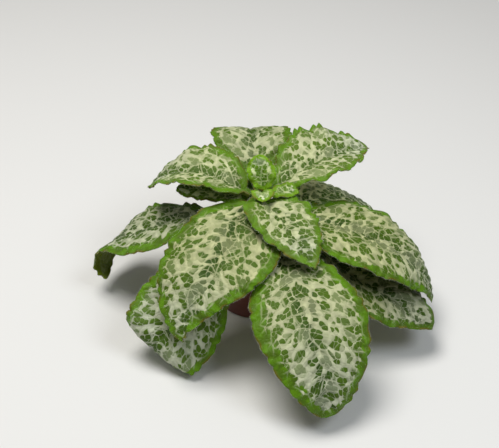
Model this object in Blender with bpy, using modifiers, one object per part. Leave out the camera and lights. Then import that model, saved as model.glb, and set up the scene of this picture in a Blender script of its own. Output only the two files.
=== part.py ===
"""Potted primulina: a rosette of cream-netted leaves on a short stem, in a round plastic pot.

Lengths in the tables are millimetres and MM turns them into metres. +Z is up, and the origin
is the middle of the pot's underside. Azimuth 0 points along +X and 90 along +Y, away from the
viewer. A leaf's left and right are those of someone who looks along it from the stem.
"""
import math
from dataclasses import dataclass

import bmesh
import bpy
import numpy as np

MM = 0.001
GAP = 0.3                 # air between pieces that touch
WELD = 0.00001            # metres; nearer points of a turned profile join

POT_HEIGHT = 60.0
POT_BASE_RADIUS = 26.5
POT_RIM_RADIUS = 35.0
POT_WALL = 1.4
POT_RIM_DEPTH = 6.0
POT_RIM_STEP = 1.2        # how far the rim band stands out from the wall
POT_FLOOR = 2.0           # thickness of the floor
POT_FOOT_LIFT = 1.5       # height of the floor's underside above the foot ring
POT_FOOT_WIDTH = 3.0
POT_PAD_RADIUS = 8.0      # flat pad in the middle of the underside, level with the foot ring
POT_LIP = 0.6             # bevel of the rim's and the foot's edges
POT_STEPS = 48            # sides of the turned pot
DRAIN_HOLES = 6
DRAIN_RADIUS = 3.0
DRAIN_RING_RADIUS = 17.0
DRAIN_SIDES = 12

SOIL_LEVEL = 54.0
SOIL_CROWN = 1.5          # rise of the soil from the wall to the stem
SOIL_LUMP = 0.5           # depth of its crumbs
SOIL_RINGS = 7            # rings of crumbs between the stem and the wall
SOIL_STEPS = 36
SOIL_SEED = 7
SLOPE_ROOM = 1.4          # the sloping wall is nearer to the soil than its radius says

STEM_RADIUS = 5.4
STEM_TOP = 90.5
STEM_FOOT = 47.0          # the stem's lower end, in the soil's hole
STEM_STEPS = 20
STEM_BRIM = 2.0           # height of the rounded top edge
STEM_RINGS = 6            # worn scars of older leaves
STEM_RING_DEPTH = 0.35
LEAF_START = 5.8          # a petiole's end, measured from the stem's axis

PETIOLE_HALF_WIDTH = 2.6
PETIOLE_DEPTH = 3.4       # thickness at the stem
RIB_DEPTH = 2.2           # thickness along the midrib of the blade
RIB_TIP_DEPTH = 1.3
BLADE_DEPTH = 1.2
MARGIN_DEPTH = 0.9
TIP_HALF_WIDTH = 0.8
THINNING = 0.25           # share of the blade over which the petiole's depth dies away
PETIOLE_ROUNDING = 0.35   # share of its depth that a petiole loses at its sides
STALK_END = 0.6           # share of the blade over which the stalk's width dies away
STALK_LEAST = 0.3         # the share of that width that is left
SMALL_LEAF = (0.4, 0.01)  # a small leaf's share of those sizes, and its growth per mm of blade

ACROSS = (0.0, 0.10, 0.40, 0.72, 1.0)    # columns from the midrib to the margin
PETIOLE_ROWS = 2
TIP_CROWDING = 1.2        # above 1 draws the rows together towards the tip
TOOTH_FADE = (0.12, 0.05) # shares of the blade without full scallops, at its base and tip
WAVE_FADE = (0.20, 0.17)  # the same for its waves
WAVE_SHIFT = 0.31         # how far the two margins' waves are apart, in waves
WAVE_POWER = 2.2          # how steeply a wave grows from the midrib to the margin
CENTRE_POINTS = 401       # fine points that a midrib's curve is summed over
HALF_POINTS = 41          # the same across half a leaf


@dataclass
class Leaf:
    """One leaf. A pair is (left, right); the other tuples run from the stem to the tip."""

    name: str
    azimuth: float                # degrees
    height: float                 # top of the petiole at the stem
    petiole: float
    blade: float
    half: tuple                   # half widths
    widest: tuple                 # where along the blade each half is widest, 0 to 1
    base: tuple                   # low is a round base, 1 a tapered one
    tip: tuple                    # low is a blunt tip, 1 a tapered one
    pitch: tuple                  # degrees above the horizontal
    fold_left: tuple = (20, 8)    # degrees each half rises from the midrib
    fold_right: tuple = (20, 8)
    arch_left: tuple = (20, 30)   # degrees it has bent down again at its margin
    arch_right: tuple = (20, 30)
    swing: tuple = (0, 0)         # change of azimuth
    roll: tuple = (0, 0)          # degrees, lifting the left side
    teeth: int = 12               # scallops along each margin
    tooth: float = 1.3            # their depth
    waves: float = 4.5            # undulations along each margin
    wave: float = 1.0             # their height
    start: tuple = (LEAF_START, 0)       # the petiole's end, ahead and left of the stem's axis
    tint: tuple = (0.28, 0.33, 0.12)     # mean colour, linear


LEAVES = (
    Leaf("leaf_front_left", 244, 89.5, 7, 108, (38, 36), (0.34, 0.51), (0.55, 0.45), (1.4, 0.55),
         (0, -20, -24, -44, -52), fold_left=(5, 5), fold_right=(12, 8), arch_left=(16, 22),
         arch_right=(13, 32)),
    Leaf("leaf_front", 290, 70, 24, 136, (39, 36), (0.54, 0.50), (0.85, 0.85), (0.48, 0.60),
         (3, 0, -14, -44, -76), fold_left=(12, 6), fold_right=(-6, 4), arch_left=(13, 29),
         arch_right=(22, 29), tint=(0.26, 0.30, 0.12)),
    Leaf("leaf_front_right_small", 300, 89, 4, 66, (23, 24), (0.36, 0.26), (0.5, 0.35),
         (0.75, 0.75), (5, -4, -9, -13, -18), fold_left=(30, 10), fold_right=(30, 10),
         arch_left=(32, 32), arch_right=(32, 32), teeth=9, tint=(0.32, 0.37, 0.15)),
    Leaf("leaf_right", 350, 73, 18, 128, (35, 38), (0.5, 0.32), (0.6, 0.6), (0.6, 0.9),
         (8, -3, -18, -42, -80), fold_left=(20, 6), fold_right=(20, 6), arch_left=(24, 40),
         arch_right=(24, 40), tint=(0.31, 0.35, 0.13)),
    Leaf("leaf_right_low", 336, 64, 26, 110, (33, 30), (0.6, 0.5), (0.75, 0.75), (0.4, 0.85),
         (8, -6, -34, -15, -24, -24), arch_left=(19, 35), arch_right=(19, 35),
         tint=(0.24, 0.29, 0.10)),
    Leaf("leaf_back_right", 37, 69, 24, 84, (36, 34), (0.5, 0.5), (0.7, 0.7), (0.5, 0.5),
         (2, -2, -14, -30, -42), fold_left=(8, 2), fold_right=(8, 2), arch_left=(16, 32),
         arch_right=(16, 32), tint=(0.23, 0.27, 0.09)),
    Leaf("leaf_back_right_high", 39, 88.5, 5, 91, (32, 25), (0.6, 0.46), (0.52, 0.7), (0.45, 1.0),
         (12, 14, 2, -8, -12), fold_left=(34, 14), fold_right=(22, 12), arch_left=(16, 16),
         arch_right=(16, 16), tooth=1.8, wave=2.0, tint=(0.33, 0.38, 0.16)),
    Leaf("leaf_back", 97, 84, 5, 92, (30, 29), (0.56, 0.56), (1.2, 1.2), (0.7, 0.7),
         (10, 28, 13, -42, -62), fold_left=(6, 12), fold_right=(6, 12), arch_left=(16, 24),
         arch_right=(16, 24), tint=(0.30, 0.34, 0.14)),
    Leaf("leaf_back_left", 163, 88, 5, 79, (27, 30), (0.37, 0.55), (0.45, 0.35), (0.75, 0.4),
         (20, 12, -5, -32, -60), fold_left=(28, 8), fold_right=(34, 8), arch_left=(8, 8),
         arch_right=(24, 24), tint=(0.30, 0.35, 0.14)),
    Leaf("leaf_back_left_small", 166, 83, 4, 50, (12, 16), (0.52, 0.52), (0.35, 0.45), (0.4, 0.4),
         (5, 5, 0, -5, -15), arch_left=(32, 48), arch_right=(32, 48), teeth=8, wave=0.5,
         tint=(0.17, 0.21, 0.05)),
    Leaf("leaf_left", 176, 75, 18, 122, (27, 31), (0.45, 0.62), (0.8, 0.75), (1.1, 0.8),
         (0, -15, -24, -29, -50, -160), fold_left=(-2, 6), fold_right=(18, 8), arch_left=(16, 24),
         arch_right=(16, 24), roll=(0, 5, 5, 5, 30, 50), tint=(0.21, 0.27, 0.09)),
    Leaf("leaf_front_left_low", 240, 66, 28, 117, (34, 31), (0.6, 0.5), (0.75, 0.75), (0.5, 0.45),
         (5, -4, -22, -42, -37, -36, -150, -160), swing=(0, -2, -4, -8, -10, -10),
         roll=(0, -5, -16, -28, -28, -28), fold_left=(12, 8), fold_right=(12, 8),
         tint=(0.24, 0.29, 0.13)),
    Leaf("leaf_back_low", 103, 66, 26, 92, (24, 24), (0.5, 0.5), (0.7, 0.7), (0.75, 0.75),
         (12, 4, -22, -48, -62), fold_left=(15, 8), fold_right=(15, 8), tint=(0.23, 0.27, 0.09)),
    Leaf("crown_leaf_upright", 100, 91.9, 1, 24.5, (10.5, 10), (0.52, 0.46), (0.45, 0.55),
         (0.45, 0.55), (60, 66, 66, 60, 48), swing=(8, 8), fold_left=(36, 14),
         fold_right=(36, 14), arch_left=(34, 30), arch_right=(34, 30), teeth=7, tooth=0.8,
         waves=2.5, wave=0.8, start=(-1.0, -3.4), tint=(0.20, 0.28, 0.07)),
    Leaf("crown_leaf_right", 352, 92.2, 1.5, 20.5, (8.5, 7.5), (0.55, 0.40), (0.7, 0.3),
         (0.65, 0.65), (26, 20, 8, -3, -12), fold_left=(22, 10), fold_right=(8, 8),
         arch_left=(28, 32), arch_right=(16, 32), roll=(0, 4, 6, 6), teeth=6, tooth=0.7,
         waves=2, wave=0.7, start=(5.8, -1.2), tint=(0.19, 0.26, 0.08)),
    Leaf("crown_leaf_front", 275, 92.6, 1, 15, (8.5, 7.5), (0.5, 0.5), (0.45, 0.45),
         (0.75, 0.75), (45, 30, 8, -12, -25), fold_left=(35, 10), fold_right=(35, 10),
         arch_left=(32, 32), arch_right=(32, 32), teeth=5, tooth=0.5, waves=2, wave=0.5,
         start=(2.8, 0.8), tint=(0.20, 0.30, 0.04)),
)


def through(stations, at):
    """A smooth curve through evenly spaced stations, read at 0 to 1."""
    spots = np.linspace(0, 1, len(stations))
    values = np.asarray(stations, float)
    slopes = np.gradient(values, spots)
    i = np.clip(np.searchsorted(spots, at, side="right") - 1, 0, len(spots) - 2)
    step = spots[i + 1] - spots[i]
    u = (at - spots[i]) / step
    start = (2 * u**3 - 3 * u**2 + 1) * values[i] + (u**3 - 2 * u**2 + u) * step * slopes[i]
    end = (3 * u**2 - 2 * u**3) * values[i + 1] + (u**3 - u**2) * step * slopes[i + 1]
    return start + end


def running_sum(values, spacing):
    """The running integral of values along the first axis, by trapezoids."""
    steps = (values[1:] + values[:-1]) / 2 * spacing
    return np.concatenate([np.zeros_like(values[:1]), np.cumsum(steps, axis=0)])


def leaf_scale(leaf):
    """How slight the stalk and ribs of a small leaf are, beside those of a full-grown one."""
    least, growth = SMALL_LEAF
    return min(1.0, least + growth * leaf.blade)


def half_width(leaf, side, along):
    """Half width of the blade on one side, where along runs from its base (0) to its tip (1)."""
    power = math.log(0.5) / math.log(leaf.widest[side])
    bluntness = leaf.base[side] + (leaf.tip[side] - leaf.base[side]) * along
    bow = np.clip(np.sin(np.pi * along**power), 0, 1) ** bluntness
    stalk = PETIOLE_HALF_WIDTH * leaf_scale(leaf) * np.clip(1 - along / STALK_END, STALK_LEAST, 1)
    return np.maximum(np.hypot(leaf.half[side] * bow, stalk), TIP_HALF_WIDTH)


def tilted(first, second, angle):
    """Two axes of a frame after a turn that carries the first one towards the second."""
    cos = math.cos(angle)
    sin = math.sin(angle)
    return cos * first + sin * second, cos * second - sin * first


def centre_line(leaf, rows):
    """Points on the midrib, and the directions to the left and out of the leaf there.

    The frame is carried along the leaf and bends about its own axes, so a rolled leaf also
    bends across its own width.
    """
    fine = np.linspace(0, 1, CENTRE_POINTS)
    angles = np.radians([through(track, fine) for track in (leaf.pitch, leaf.swing, leaf.roll)])
    azimuth = math.radians(leaf.azimuth)
    ahead = np.array([math.cos(azimuth), math.sin(azimuth), 0.0])
    left = np.array([-math.sin(azimuth), math.cos(azimuth), 0.0])
    out = np.array([0.0, 0.0, 1.0])
    first = leaf.start[0] * ahead + leaf.start[1] * left + leaf.height * out
    frames = []
    for pitch, swing, roll in np.diff(angles, axis=1, prepend=0).T:
        ahead, out = tilted(ahead, out, pitch)
        ahead, left = tilted(ahead, left, swing)
        left, out = tilted(left, out, roll)
        frames.append((ahead, left, out))
    frames = np.array(frames)
    length = leaf.petiole + leaf.blade
    points = first + running_sum(frames[:, 0], length / (len(fine) - 1))
    return [np.stack([np.interp(rows, fine, axis) for axis in track.T], axis=1)
            for track in (points, frames[:, 1], frames[:, 2])]


def leaf_rows(leaf):
    """Places of the rows along the whole leaf, and along its blade alone, 0 to 1."""
    split = leaf.petiole / (leaf.petiole + leaf.blade)
    steps = np.linspace(0, 1, 2 * leaf.teeth + 1)
    blade = 1 - (1 - steps) ** TIP_CROWDING
    stalk = np.linspace(0, 1, PETIOLE_ROWS + 1)[:-1]
    return (np.concatenate([stalk * split, split + (1 - split) * blade]),
            np.concatenate([0 * stalk, blade]))


def faded(along, fade):
    """1 along the blade, and falling to 0 over the given shares of it at its base and tip."""
    return np.clip(along / fade[0], 0, 1) * np.clip((1 - along) / fade[1], 0, 1)


def scallops(leaf, side, along):
    """How far the margin draws in between its scallops; the two sides alternate."""
    row = np.round((1 - (1 - along) ** (1 / TIP_CROWDING)) * 2 * leaf.teeth)
    return leaf.tooth * ((row + side) % 2) * faded(along, TOOTH_FADE)


def leaf_sheet(leaf):
    """The leaf's upper surface as rows of points, from the right margin to the left one."""
    rows, along = leaf_rows(leaf)
    centre, left, out = centre_line(leaf, rows)
    inner = len(ACROSS) - 1
    sheet = np.zeros((len(rows), 2 * inner + 1, 3))
    fine = np.linspace(0, 1, HALF_POINTS)
    sides = ((1, leaf.fold_left, leaf.arch_left), (-1, leaf.fold_right, leaf.arch_right))
    for side, (sign, fold, arch) in enumerate(sides):
        width = half_width(leaf, side, along) - scallops(leaf, side, along)
        bend = through(fold, along) - np.outer(fine, through(arch, along))
        slope = np.radians(bend)
        reach = running_sum(np.cos(slope), fine[1]) * width
        rise = running_sum(np.sin(slope), fine[1]) * width
        ripple = np.sin(2 * np.pi * (leaf.waves * along + WAVE_SHIFT * side))
        ripple *= leaf.wave * faded(along, WAVE_FADE)
        for k, place in enumerate(ACROSS):
            nearest = int(round(place * (len(fine) - 1)))
            sideways = sign * reach[nearest][:, None]
            lift = (rise[nearest] + ripple * place**WAVE_POWER)[:, None]
            sheet[:, inner + sign * k] = centre + left * sideways + out * lift
    return sheet * MM


def leaf_depth(leaf):
    """Thickness of the leaf at each point of its sheet."""
    _, along = leaf_rows(leaf)
    blade = np.clip(along / THINNING, 0, 1)[:, None]
    across = np.abs(np.concatenate([-np.array(ACROSS[:0:-1]), ACROSS]))[None, :]
    rib = RIB_DEPTH + (RIB_TIP_DEPTH - RIB_DEPTH) * along[:, None]
    flat = BLADE_DEPTH + (MARGIN_DEPTH - BLADE_DEPTH) * across
    on_blade = np.where(across < ACROSS[1] / 2, rib, flat)
    on_petiole = PETIOLE_DEPTH * (1 - PETIOLE_ROUNDING * across**2)
    return (on_petiole + (on_blade - on_petiole) * blade) * leaf_scale(leaf)


def material(name, colour, roughness, metallic=0.0):
    """A Principled material; the colour is linear."""
    made = bpy.data.materials.new(name)
    made.use_nodes = True
    shader = made.node_tree.nodes["Principled BSDF"]
    shader.inputs["Base Color"].default_value = (*colour, 1.0)
    shader.inputs["Roughness"].default_value = roughness
    shader.inputs["Metallic"].default_value = metallic
    return made


def add_object(name, mesh, look, home):
    """Links a new object with its material to the collection."""
    made = bpy.data.objects.new(name, mesh)
    mesh.materials.append(look)
    home.objects.link(made)
    return made


def add_leaf(leaf, look, home):
    """A leaf: its sheet as triangles, thickened downwards by Solidify."""
    sheet = leaf_sheet(leaf)
    depth = leaf_depth(leaf)
    rows, columns = sheet.shape[:2]
    bm = bmesh.new()
    bmesh.ops.create_grid(bm, x_segments=rows - 1, y_segments=columns - 1, size=0.5)
    weights = {}
    for vert in bm.verts:
        row = round((vert.co.x + 0.5) * (rows - 1))
        column = round((vert.co.y + 0.5) * (columns - 1))
        weights[vert.index] = float(depth[row, column])
        vert.co = sheet[row, column]
    bmesh.ops.triangulate(bm, faces=bm.faces, quad_method="SHORT_EDGE")
    mesh = bpy.data.meshes.new(leaf.name)
    bm.to_mesh(mesh)
    bm.free()
    mesh.shade_smooth()
    made = add_object(leaf.name, mesh, look, home)
    deepest = float(depth.max())
    group = made.vertex_groups.new(name="depth")
    for index, value in weights.items():
        group.add([index], value / deepest, "REPLACE")
    solid = made.modifiers.new("thickness", "SOLIDIFY")
    solid.thickness = deepest * MM
    solid.offset = -1.0
    solid.vertex_group = group.name
    return made


def turned(name, profile, steps, look, home):
    """A turned solid from (radius, height) points that run down its outer side."""
    mesh = bpy.data.meshes.new(name)
    points = [(radius * MM, 0.0, height * MM) for radius, height in profile]
    mesh.from_pydata(points, [(i, i + 1) for i in range(len(points) - 1)], [])
    made = add_object(name, mesh, look, home)
    spin = made.modifiers.new("turn", "SCREW")
    spin.steps = steps
    spin.render_steps = steps
    spin.use_merge_vertices = True
    spin.merge_threshold = WELD
    spin.use_smooth_shade = True
    return made


def wall_radius(height):
    """Outer radius of the pot's plain wall at a height."""
    top = POT_RIM_RADIUS - POT_RIM_STEP
    return POT_BASE_RADIUS + (top - POT_BASE_RADIUS) * height / POT_HEIGHT


def add_pot(look, guides, home):
    """The pot: tapered wall, rim band, foot ring, middle pad and drain holes in its floor."""
    rim_foot = POT_HEIGHT - POT_RIM_DEPTH
    floor_top = POT_FOOT_LIFT + POT_FLOOR
    mouth = wall_radius(POT_HEIGHT) - POT_WALL
    foot_inside = POT_BASE_RADIUS - POT_FOOT_WIDTH
    profile = [
        (0, floor_top),
        (wall_radius(floor_top) - POT_WALL, floor_top),
        (mouth, POT_HEIGHT - POT_LIP),
        (mouth + POT_LIP, POT_HEIGHT),
        (POT_RIM_RADIUS - POT_LIP, POT_HEIGHT),
        (POT_RIM_RADIUS, POT_HEIGHT - POT_LIP),
        (POT_RIM_RADIUS - POT_LIP / 2, rim_foot + POT_LIP),
        (POT_RIM_RADIUS - POT_LIP, rim_foot),
        (wall_radius(rim_foot), rim_foot),
        (wall_radius(POT_LIP), POT_LIP),
        (POT_BASE_RADIUS - POT_LIP, 0),
        (foot_inside, 0),
        (foot_inside - POT_LIP, POT_FOOT_LIFT),
        (POT_PAD_RADIUS + POT_LIP, POT_FOOT_LIFT),
        (POT_PAD_RADIUS, 0),
        (0, 0),
    ]
    pot = turned("pot", profile, POT_STEPS, look, home)
    for number in range(DRAIN_HOLES):
        add_drill(number, guides)
    cut = pot.modifiers.new("drains", "BOOLEAN")
    cut.operation = "DIFFERENCE"
    cut.operand_type = "COLLECTION"
    cut.collection = guides
    return pot


def add_drill(number, guides):
    """The cutter of one drain hole, hidden and drawn as wire."""
    turn = 2 * math.pi * number / DRAIN_HOLES
    mesh = bpy.data.meshes.new("drain")
    bm = bmesh.new()
    bmesh.ops.create_cone(bm, cap_ends=True, segments=DRAIN_SIDES, radius1=DRAIN_RADIUS * MM,
                          radius2=DRAIN_RADIUS * MM, depth=3 * POT_FLOOR * MM)
    bm.to_mesh(mesh)
    bm.free()
    drill = bpy.data.objects.new(f"drain_{number + 1}", mesh)
    drill.location = (DRAIN_RING_RADIUS * math.cos(turn) * MM,
                      DRAIN_RING_RADIUS * math.sin(turn) * MM,
                      (POT_FOOT_LIFT + POT_FLOOR / 2) * MM)
    drill.hide_render = True
    drill.display_type = "WIRE"
    guides.objects.link(drill)


def add_soil(look, home):
    """The soil: a plug that fills the pot, crumbly on top, with a blind hole for the stem."""
    floor = POT_FOOT_LIFT + POT_FLOOR + GAP
    clear = POT_WALL + SLOPE_ROOM * GAP
    hole = STEM_RADIUS + GAP
    edge = wall_radius(SOIL_LEVEL) - clear
    spots = np.linspace(0, 1, SOIL_RINGS + 1)
    top = [(hole + (edge - hole) * spot, SOIL_LEVEL + SOIL_CROWN * (1 - spot)) for spot in spots]
    profile = [(0, STEM_FOOT - GAP), (hole, STEM_FOOT - GAP), *top,
               (wall_radius(floor) - clear, floor), (0, floor)]
    soil = turned("soil", profile, SOIL_STEPS, look, home)
    bpy.context.view_layer.update()
    plain = soil.evaluated_get(bpy.context.evaluated_depsgraph_get())
    mesh = bpy.data.meshes.new_from_object(plain)
    soil.modifiers.clear()
    soil.data = mesh
    rng = np.random.default_rng(SOIL_SEED)
    for vert in mesh.vertices:
        radius = math.hypot(vert.co.x, vert.co.y) / MM
        on_top = vert.co.z > (SOIL_LEVEL - SOIL_LUMP) * MM
        if on_top and hole + GAP < radius < edge - GAP:
            vert.co.z += rng.uniform(-SOIL_LUMP, SOIL_LUMP) * MM
    return soil


def add_stem(look, home):
    """The short stem: ringed by the scars of older leaves, and drawn in to its growing tip."""
    brim = STEM_TOP - STEM_BRIM
    low = SOIL_LEVEL + SOIL_CROWN + 1
    spots = np.linspace(0, 1, 3 * STEM_RINGS + 1)
    side = [(STEM_RADIUS - STEM_RING_DEPTH * (0.5 - 0.5 * math.cos(2 * math.pi * STEM_RINGS * spot)),
             brim + (low - brim) * spot) for spot in spots]
    profile = [(0, STEM_TOP), (0.7 * STEM_RADIUS, STEM_TOP),
               (0.9 * STEM_RADIUS, STEM_TOP - 0.4 * STEM_BRIM),
               *side, (STEM_RADIUS, STEM_FOOT), (0, STEM_FOOT)]
    return turned("stem", profile, STEM_STEPS, look, home)


def main():
    """Builds the pieces from the pot upwards."""
    for old in list(bpy.data.objects):
        bpy.data.objects.remove(old)
    home = bpy.data.collections.new("potted_primulina")
    guides = bpy.data.collections.new("cutters")
    for collection in (home, guides):
        bpy.context.scene.collection.children.link(collection)
    add_pot(material("pot_plastic", (0.26, 0.05, 0.03), 0.5), guides, home)
    add_soil(material("potting_soil", (0.03, 0.02, 0.013), 0.95), home)
    add_stem(material("stem_bark", (0.10, 0.13, 0.04), 0.7), home)
    for leaf in LEAVES:
        add_leaf(leaf, material(f"{leaf.name}_blade", leaf.tint, 0.5), home)


main()
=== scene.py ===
# %% [markdown]
# # A potted primulina, built as a lesson in cells
# The plant is a rosette of thirteen large leaves and three young ones on a short stem, in a
# round plastic pot. Its looks come from three things: the bend of each leaf, the scalloped and
# rippled margins, and the cream net over green cells. Each is made once, as a function or a node
# group, and every leaf uses it with its own values.
#
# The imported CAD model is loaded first. It fixes where everything is, and each finer piece below
# takes the place of one of its nodes.

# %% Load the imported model
import math
from dataclasses import dataclass

import bmesh
import bpy
import numpy as np
from mathutils import Matrix


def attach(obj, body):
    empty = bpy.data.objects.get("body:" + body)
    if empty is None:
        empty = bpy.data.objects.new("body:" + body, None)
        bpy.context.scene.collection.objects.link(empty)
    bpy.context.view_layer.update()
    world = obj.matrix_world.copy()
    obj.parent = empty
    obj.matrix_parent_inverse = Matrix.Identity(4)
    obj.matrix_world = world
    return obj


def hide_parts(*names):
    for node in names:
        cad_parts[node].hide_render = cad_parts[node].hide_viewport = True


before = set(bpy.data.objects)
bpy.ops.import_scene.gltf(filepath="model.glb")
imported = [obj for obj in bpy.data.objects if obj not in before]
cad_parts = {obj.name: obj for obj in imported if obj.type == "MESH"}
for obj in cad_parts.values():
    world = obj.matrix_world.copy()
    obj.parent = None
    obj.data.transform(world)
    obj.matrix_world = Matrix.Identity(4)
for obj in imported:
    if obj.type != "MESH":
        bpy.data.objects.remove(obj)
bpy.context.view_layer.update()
MM = 0.001


# %% [markdown]
# ## The camera
# A camera is an object like any other. It stands about 0.7 metres from the pot and looks down
# at it by 36 degrees. The photograph is also turned by a few degrees, which is one
# more turn about the camera's own line of sight.

# %% Place the camera
CAMERA_PLACE = (-0.0057, -0.5590, 0.4741)
CAMERA_DOWN = 36.3        # degrees below the horizontal
CAMERA_TURN = 2.82        # degrees about the line of sight
CAMERA_LENS = 72.14
SENSOR_WIDTH = 36.0


def in_scene(name, data):
    """A new object with this data, linked to the scene."""
    made = bpy.data.objects.new(name, data)
    bpy.context.scene.collection.objects.link(made)
    return made


camera = in_scene("camera", bpy.data.cameras.new("camera"))
camera.data.lens = CAMERA_LENS
camera.data.sensor_width = SENSOR_WIDTH
camera.matrix_world = (Matrix.Translation(CAMERA_PLACE)
                       @ Matrix.Rotation(math.radians(90 - CAMERA_DOWN), 4, "X")
                       @ Matrix.Rotation(math.radians(CAMERA_TURN), 4, "Z"))
bpy.context.scene.camera = camera
print("camera at", CAMERA_PLACE)

# %% [markdown]
# ## Studio light and floor
# Large soft lamps give the broad, weak highlights that daylight gives on a hairy leaf. The floor
# is plain and pale, so that it lights the undersides of the leaves a little.

# %% Add the lamps and the floor
LAMPS = (
    # place in metres, size in metres, watts, colour
    ((-0.30, 0.00, 1.20), 0.70, 12.0, (1.0, 0.99, 0.96)),
    ((0.55, -0.40, 1.00), 0.50, 4.0, (0.86, 0.93, 1.0)),
)
LAMP_TARGET = (0.0, 0.0, 0.05)
ROOM_LIGHT = 0.20
FLOOR_HALF = 3.0          # metres from its middle to its edge


def aimed(place):
    """The transform of a lamp at a place that shines at the plant."""
    offset = np.subtract(LAMP_TARGET, place)
    turn = math.atan2(offset[1], offset[0])
    tilt = math.atan2(math.hypot(offset[0], offset[1]), -offset[2])
    return (Matrix.Translation(place) @ Matrix.Rotation(turn - math.pi / 2, 4, "Z")
            @ Matrix.Rotation(tilt, 4, "X"))


for number, (place, size, watts, colour) in enumerate(LAMPS, 1):
    lamp = in_scene(f"lamp_{number}", bpy.data.lights.new(f"lamp_{number}", "AREA"))
    lamp.data.shape = "DISK"
    lamp.data.size = size
    lamp.data.energy = watts
    lamp.data.color = colour
    lamp.matrix_world = aimed(place)

room = bpy.data.worlds.new("room")
room.use_nodes = True
room.node_tree.nodes["Background"].inputs["Color"].default_value = (1.0, 1.0, 1.0, 1.0)
room.node_tree.nodes["Background"].inputs["Strength"].default_value = ROOM_LIGHT
bpy.context.scene.world = room
bpy.context.scene.view_settings.view_transform = "Standard"

floor_mesh = bpy.data.meshes.new("floor")
floor_mesh.from_pydata([(x * FLOOR_HALF, y * FLOOR_HALF, 0.0)
                        for x, y in ((-1, -1), (1, -1), (1, 1), (-1, 1))], [], [(0, 1, 2, 3)])
floor_look = bpy.data.materials.new("floor_paint")
floor_look.use_nodes = True
shader = floor_look.node_tree.nodes["Principled BSDF"]
shader.inputs["Base Color"].default_value = (0.78, 0.77, 0.75, 1.0)
shader.inputs["Roughness"].default_value = 0.8
floor_mesh.materials.append(floor_look)
floor = in_scene("floor", floor_mesh)
print("lamps:", len(LAMPS))

# %% [markdown]
# ## The measures of every leaf
# A leaf is one rule with many measures: how long it is, how wide each half is and where, how its
# midrib bends, how each half folds up and arches down, and how deep its scallops are. A table of
# such measures is easier to judge and to correct than sixteen sculpted meshes. The lengths are
# millimetres and the angles are degrees. A leaf's left is that of someone who looks along it
# from the stem, and each pair is (left, right).

# %% Describe a leaf
@dataclass
class Leaf:
    """The measures of one leaf. Tuples other than pairs run from the stem to the tip."""

    name: str
    azimuth: float
    height: float                        # top of the petiole at the stem
    petiole: float
    blade: float
    half: tuple                          # half widths
    widest: tuple                        # where along the blade each half is widest, 0 to 1
    base: tuple                          # low is a round base, 1 a tapered one
    tip: tuple                           # low is a blunt tip, 1 a tapered one
    pitch: tuple                         # above the horizontal
    fold_left: tuple = (20, 8)           # how each half rises from the midrib
    fold_right: tuple = (20, 8)
    arch_left: tuple = (20, 30)          # how far it has bent down again at its margin
    arch_right: tuple = (20, 30)
    swing: tuple = (0, 0)                # turn of the midrib to the left
    roll: tuple = (0, 0)                 # turn about the midrib, left side up
    teeth: int = 12                      # scallops along each margin
    tooth: float = 1.3                   # their depth
    waves: float = 4.5                   # undulations along each margin
    wave: float = 1.0                    # how far they rise and fall
    start: tuple = (5.8, 0)              # the petiole's end, ahead and left of the stem's axis
    age: str = "mature_leaf"             # the material slot
    light: float = 1.0                   # how bright its colours are; painted light and shade, partly the leaf's own tone
    silver_and_painted_glare: float = 0.0                  # how much of the cream is silver, 0 to 1; partly painted glare
    border: tuple = (4.6, 4.6)           # width of the green border
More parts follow.
